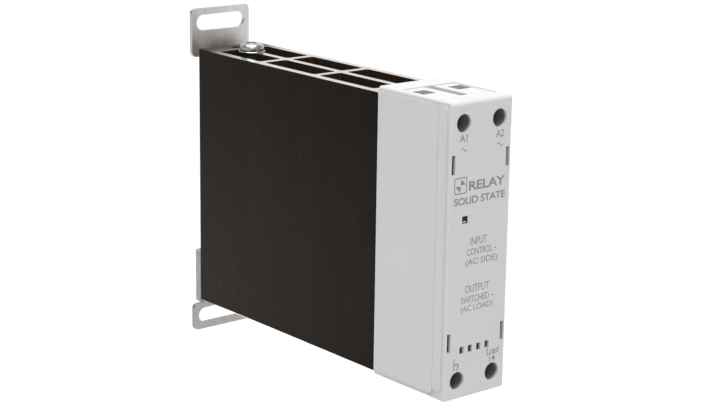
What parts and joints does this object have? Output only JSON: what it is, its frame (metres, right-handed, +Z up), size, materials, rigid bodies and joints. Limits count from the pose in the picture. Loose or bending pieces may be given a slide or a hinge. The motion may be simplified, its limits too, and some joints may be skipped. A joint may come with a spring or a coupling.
{
  "type": "solid state relay",
  "caption": "Slim single-phase solid state relay: grey moulded casing on a deep dark anodised heat sink, with screw clamp terminals, slotted ears and a sprung rail clip.",
  "frame": {"origin": "on the heat sink's flat back face, level with the middle of the 35 mm mounting rail, on the centre plane", "axes": "+X to the right seen from the front, +Y back towards the rail or panel, +Z up, towards the input terminals"},
  "size_m": [0.0226, 0.1188, 0.1024],
  "materials": {
    "casing_plastic": "light grey moulded, fine texture",
    "anodised_sink": "extruded, dark brown-black anodised, saw-cut bright ends",
    "zinc_sheet": "zinc-plated sheet steel",
    "zinc_screw": "bright zinc-plated",
    "black_screw": "black oxide",
    "spring_steel": "drawn wire",
    "tinned_copper": "tin-plated",
    "copper": "bare copper, satin",
    "circuit_laminate": "green solder resist",
    "black_epoxy": "moulded",
    "alumina": "fired, matt",
    "silicon": "passivated die",
    "thermal_silicone": "filled silicone",
    "film_capacitor": "moulded box",
    "blue_epoxy": "dipped",
    "resistor_lacquer": "lacquered",
    "indicator_lens": "diffused",
    "clear_polycarbonate": "polished",
    "dark_polyamide": "dark grey moulded sleeve"
  },
  "bodies": {
    "relay_body": {"heat_sink": "anodised_sink", "housing_body": "casing_plastic", "front_cover": "casing_plastic", "input_bar_a1": "tinned_copper", "input_bar_a2": "tinned_copper", "load_bar_13": "copper", "load_bar_14": "copper", "thermal_pad": "thermal_silicone", "module_base": "copper", "ceramic_substrate": "alumina", "thyristor_die_1": "silicon", "thyristor_die_2": "silicon", "gate_pin_1": "tinned_copper", "gate_pin_2": "tinned_copper", "gate_pin_3": "tinned_copper", "gate_pin_4": "tinned_copper", "circuit_board": "circuit_laminate", "optocoupler": "black_epoxy", "bridge_rectifier": "black_epoxy", "input_capacitor": "black_epoxy", "varistor": "blue_epoxy", "snubber_capacitor": "film_capacitor", "snubber_resistor": "resistor_lacquer", "status_led": "indicator_lens", "light_pipe": "clear_polycarbonate", "upper_bracket": "zinc_sheet", "upper_bracket_screw_left": "zinc_screw", "upper_bracket_screw_right": "zinc_screw", "clip_guide": "zinc_sheet", "clip_guide_screw": "zinc_screw", "guide_lip_screw": "black_screw", "clip_spring": "spring_steel", "earth_washer": "zinc_screw", "earth_screw": "zinc_screw", "housing_screw_upper": "zinc_screw", "housing_screw_lower": "zinc_screw", "screw_guide_a1": "dark_polyamide", "screw_guide_a2": "dark_polyamide", "screw_guide_13": "dark_polyamide", "screw_guide_14": "dark_polyamide", "window_blank": "black_epoxy"},
    "screw_a1": {"terminal_screw_a1": "zinc_screw"},
    "cage_a1": {"clamp_cage_a1": "zinc_sheet"},
    "screw_a2": {"terminal_screw_a2": "zinc_screw"},
    "cage_a2": {"clamp_cage_a2": "zinc_sheet"},
    "screw_13": {"terminal_screw_13": "zinc_screw"},
    "cage_13": {"clamp_cage_13": "zinc_sheet"},
    "screw_14": {"terminal_screw_14": "zinc_screw"},
    "cage_14": {"clamp_cage_14": "zinc_sheet"},
    "rail_clip_body": {"rail_clip": "zinc_sheet"}
  },
  "joints": [
    {"name": "terminal_screw_a1_turn", "type": "hinge", "parent": "relay_body", "child": "screw_a1", "pos_m": [-0.0064, -0.1061, 0.0353], "axis": [0, 1, 0], "range_deg": [0, 1800]},
    {"name": "clamp_cage_a1_lift", "type": "slide", "parent": "relay_body", "child": "cage_a1", "axis": [0, -1, 0], "range_m": [0, 0.003]},
    {"name": "terminal_screw_a2_turn", "type": "hinge", "parent": "relay_body", "child": "screw_a2", "pos_m": [0.0064, -0.1061, 0.0353], "axis": [0, 1, 0], "range_deg": [0, 1800]},
    {"name": "clamp_cage_a2_lift", "type": "slide", "parent": "relay_body", "child": "cage_a2", "axis": [0, -1, 0], "range_m": [0, 0.003]},
    {"name": "terminal_screw_13_turn", "type": "hinge", "parent": "relay_body", "child": "screw_13", "pos_m": [-0.0064, -0.1061, -0.0353], "axis": [0, 1, 0], "range_deg": [0, 1800]},
    {"name": "clamp_cage_13_lift", "type": "slide", "parent": "relay_body", "child": "cage_13", "axis": [0, -1, 0], "range_m": [0, 0.003]},
    {"name": "terminal_screw_14_turn", "type": "hinge", "parent": "relay_body", "child": "screw_14", "pos_m": [0.0064, -0.1061, -0.0353], "axis": [0, 1, 0], "range_deg": [0, 1800]},
    {"name": "clamp_cage_14_lift", "type": "slide", "parent": "relay_body", "child": "cage_14", "axis": [0, -1, 0], "range_m": [0, 0.003]},
    {"name": "rail_clip_slide", "type": "slide", "parent": "relay_body", "child": "rail_clip_body", "axis": [0, 0, -1], "range_m": [0, 0.005], "stiffness_N_per_m": 2000, "springref_m": -0.003, "deforming": ["clip_spring"]}
  ],
  "couplings": [
    {"joint": "terminal_screw_a1_turn", "follows": "clamp_cage_a1_lift", "rad_per_m": 10472},
    {"joint": "terminal_screw_a2_turn", "follows": "clamp_cage_a2_lift", "rad_per_m": 10472},
    {"joint": "terminal_screw_13_turn", "follows": "clamp_cage_13_lift", "rad_per_m": 10472},
    {"joint": "terminal_screw_14_turn", "follows": "clamp_cage_14_lift", "rad_per_m": 10472}
  ]
}
